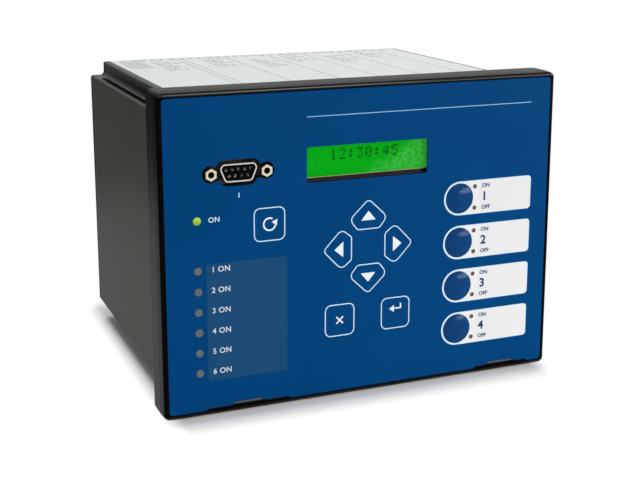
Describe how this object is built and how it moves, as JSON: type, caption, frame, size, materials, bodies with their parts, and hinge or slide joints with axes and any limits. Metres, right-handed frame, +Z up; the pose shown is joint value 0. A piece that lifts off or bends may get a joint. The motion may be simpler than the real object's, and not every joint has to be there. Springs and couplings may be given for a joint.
{
  "type": "capacitor bank controller",
  "caption": "Panel-mounted capacitor bank controller with a square bezel, a blue keypad face, green display, serial port, status lamps, label cards and a deep stepped sleeve.",
  "frame": {"origin": "middle of the footprint of the whole unit, at the height of the bezel's lower edge", "axes": "+X to the right of the face as a user sees it, +Y from the face into the unit, +Z up"},
  "size_m": [0.192, 0.1626, 0.144],
  "materials": {
    "housing": "fine texture",
    "rim": "satin black",
    "seal": "matt",
    "face_print": "satin printed sheet",
    "clear_sheet": "clear sheet",
    "clear_pane": "clear pane",
    "lamp_card": "printed card",
    "button_card": "printed card",
    "display": "backlit green",
    "display_surround": "matt",
    "circuit_board": "solder mask",
    "power_lens": "lit lens",
    "status_lens": "unlit lens",
    "button_lens": "unlit lens",
    "socket_shell": "plated",
    "socket_insert": "matt black",
    "contacts": "gold plated",
    "posts": "nickel plated",
    "steel": "plated",
    "sleeve_metal": "satin dark grey",
    "rear_metal": "satin dark grey",
    "white_label": "printed label",
    "black_parts": "moulded",
    "transformer_core": "varnished",
    "capacitor_sleeve": "shrink sleeve",
    "coil_tape": "taped",
    "terminal_black": "moulded",
    "terminal_green": "moulded",
    "terminal_metal": "plated",
    "earth_brass": "plain",
    "key_cap": "satin printed cap",
    "button_cap": "satin domed cap"
  },
  "bodies": {
    "case": {"front_housing": "housing", "front_rim": "rim", "panel_seal": "seal", "face_sheet": "face_print", "label_windows": "clear_sheet", "lamp_label_card": "lamp_card", "button_label_card": "button_card", "display_window": "clear_pane", "display_glass": "display", "display_frame": "display_surround", "display_board": "circuit_board", "power_lamp": "power_lens", "status_lamps": "status_lens", "button_lamps": "button_lens", "port_shell": "socket_shell", "port_insert": "socket_insert", "port_contacts": "contacts", "port_posts": "posts", "front_board": "circuit_board", "switch_domes": "steel", "front_screws": "steel", "front_board_screws": "steel", "sleeve": "sleeve_metal", "top_label": "white_label", "rear_panel": "rear_metal", "rear_screws": "steel", "communication_board": "circuit_board", "relay_board": "circuit_board", "measuring_board": "circuit_board", "board_connectors": "black_parts", "processor_chips": "black_parts", "clock_battery": "steel", "output_relays": "black_parts", "power_transformer": "transformer_core", "filter_capacitors": "capacitor_sleeve", "current_transformers": "black_parts", "voltage_transformers": "coil_tape", "serial_shells": "socket_shell", "serial_inserts": "socket_insert", "serial_posts": "posts", "network_jack": "socket_shell", "clock_socket": "posts", "lug_terminals": "terminal_black", "lug_screws": "terminal_metal", "wire_terminals": "terminal_green", "wire_screws": "terminal_metal", "earth_stud": "earth_brass", "earth_nuts": "terminal_metal"},
    "key_up": {"key_up": "key_cap"},
    "key_down": {"key_down": "key_cap"},
    "key_left": {"key_left": "key_cap"},
    "key_right": {"key_right": "key_cap"},
    "key_cancel": {"key_cancel": "key_cap"},
    "key_accept": {"key_accept": "key_cap"},
    "key_reset": {"key_reset": "key_cap"},
    "button_1": {"button_1": "button_cap"},
    "button_2": {"button_2": "button_cap"},
    "button_3": {"button_3": "button_cap"},
    "button_4": {"button_4": "button_cap"}
  },
  "joints": [
    {"name": "key_up_press", "type": "slide", "parent": "case", "child": "key_up", "axis": [0, 1, 0], "range_m": [0, 0.0006], "stiffness_N_per_m": 1500},
    {"name": "key_down_press", "type": "slide", "parent": "case", "child": "key_down", "axis": [0, 1, 0], "range_m": [0, 0.0006], "stiffness_N_per_m": 1500},
    {"name": "key_left_press", "type": "slide", "parent": "case", "child": "key_left", "axis": [0, 1, 0], "range_m": [0, 0.0006], "stiffness_N_per_m": 1500},
    {"name": "key_right_press", "type": "slide", "parent": "case", "child": "key_right", "axis": [0, 1, 0], "range_m": [0, 0.0006], "stiffness_N_per_m": 1500},
    {"name": "key_cancel_press", "type": "slide", "parent": "case", "child": "key_cancel", "axis": [0, 1, 0], "range_m": [0, 0.0006], "stiffness_N_per_m": 1500},
    {"name": "key_accept_press", "type": "slide", "parent": "case", "child": "key_accept", "axis": [0, 1, 0], "range_m": [0, 0.0006], "stiffness_N_per_m": 1500},
    {"name": "key_reset_press", "type": "slide", "parent": "case", "child": "key_reset", "axis": [0, 1, 0], "range_m": [0, 0.0006], "stiffness_N_per_m": 1500},
    {"name": "button_1_press", "type": "slide", "parent": "case", "child": "button_1", "axis": [0, 1, 0], "range_m": [0, 0.001], "stiffness_N_per_m": 1500},
    {"name": "button_2_press", "type": "slide", "parent": "case", "child": "button_2", "axis": [0, 1, 0], "range_m": [0, 0.001], "stiffness_N_per_m": 1500},
    {"name": "button_3_press", "type": "slide", "parent": "case", "child": "button_3", "axis": [0, 1, 0], "range_m": [0, 0.001], "stiffness_N_per_m": 1500},
    {"name": "button_4_press", "type": "slide", "parent": "case", "child": "button_4", "axis": [0, 1, 0], "range_m": [0, 0.001], "stiffness_N_per_m": 1500}
  ]
}
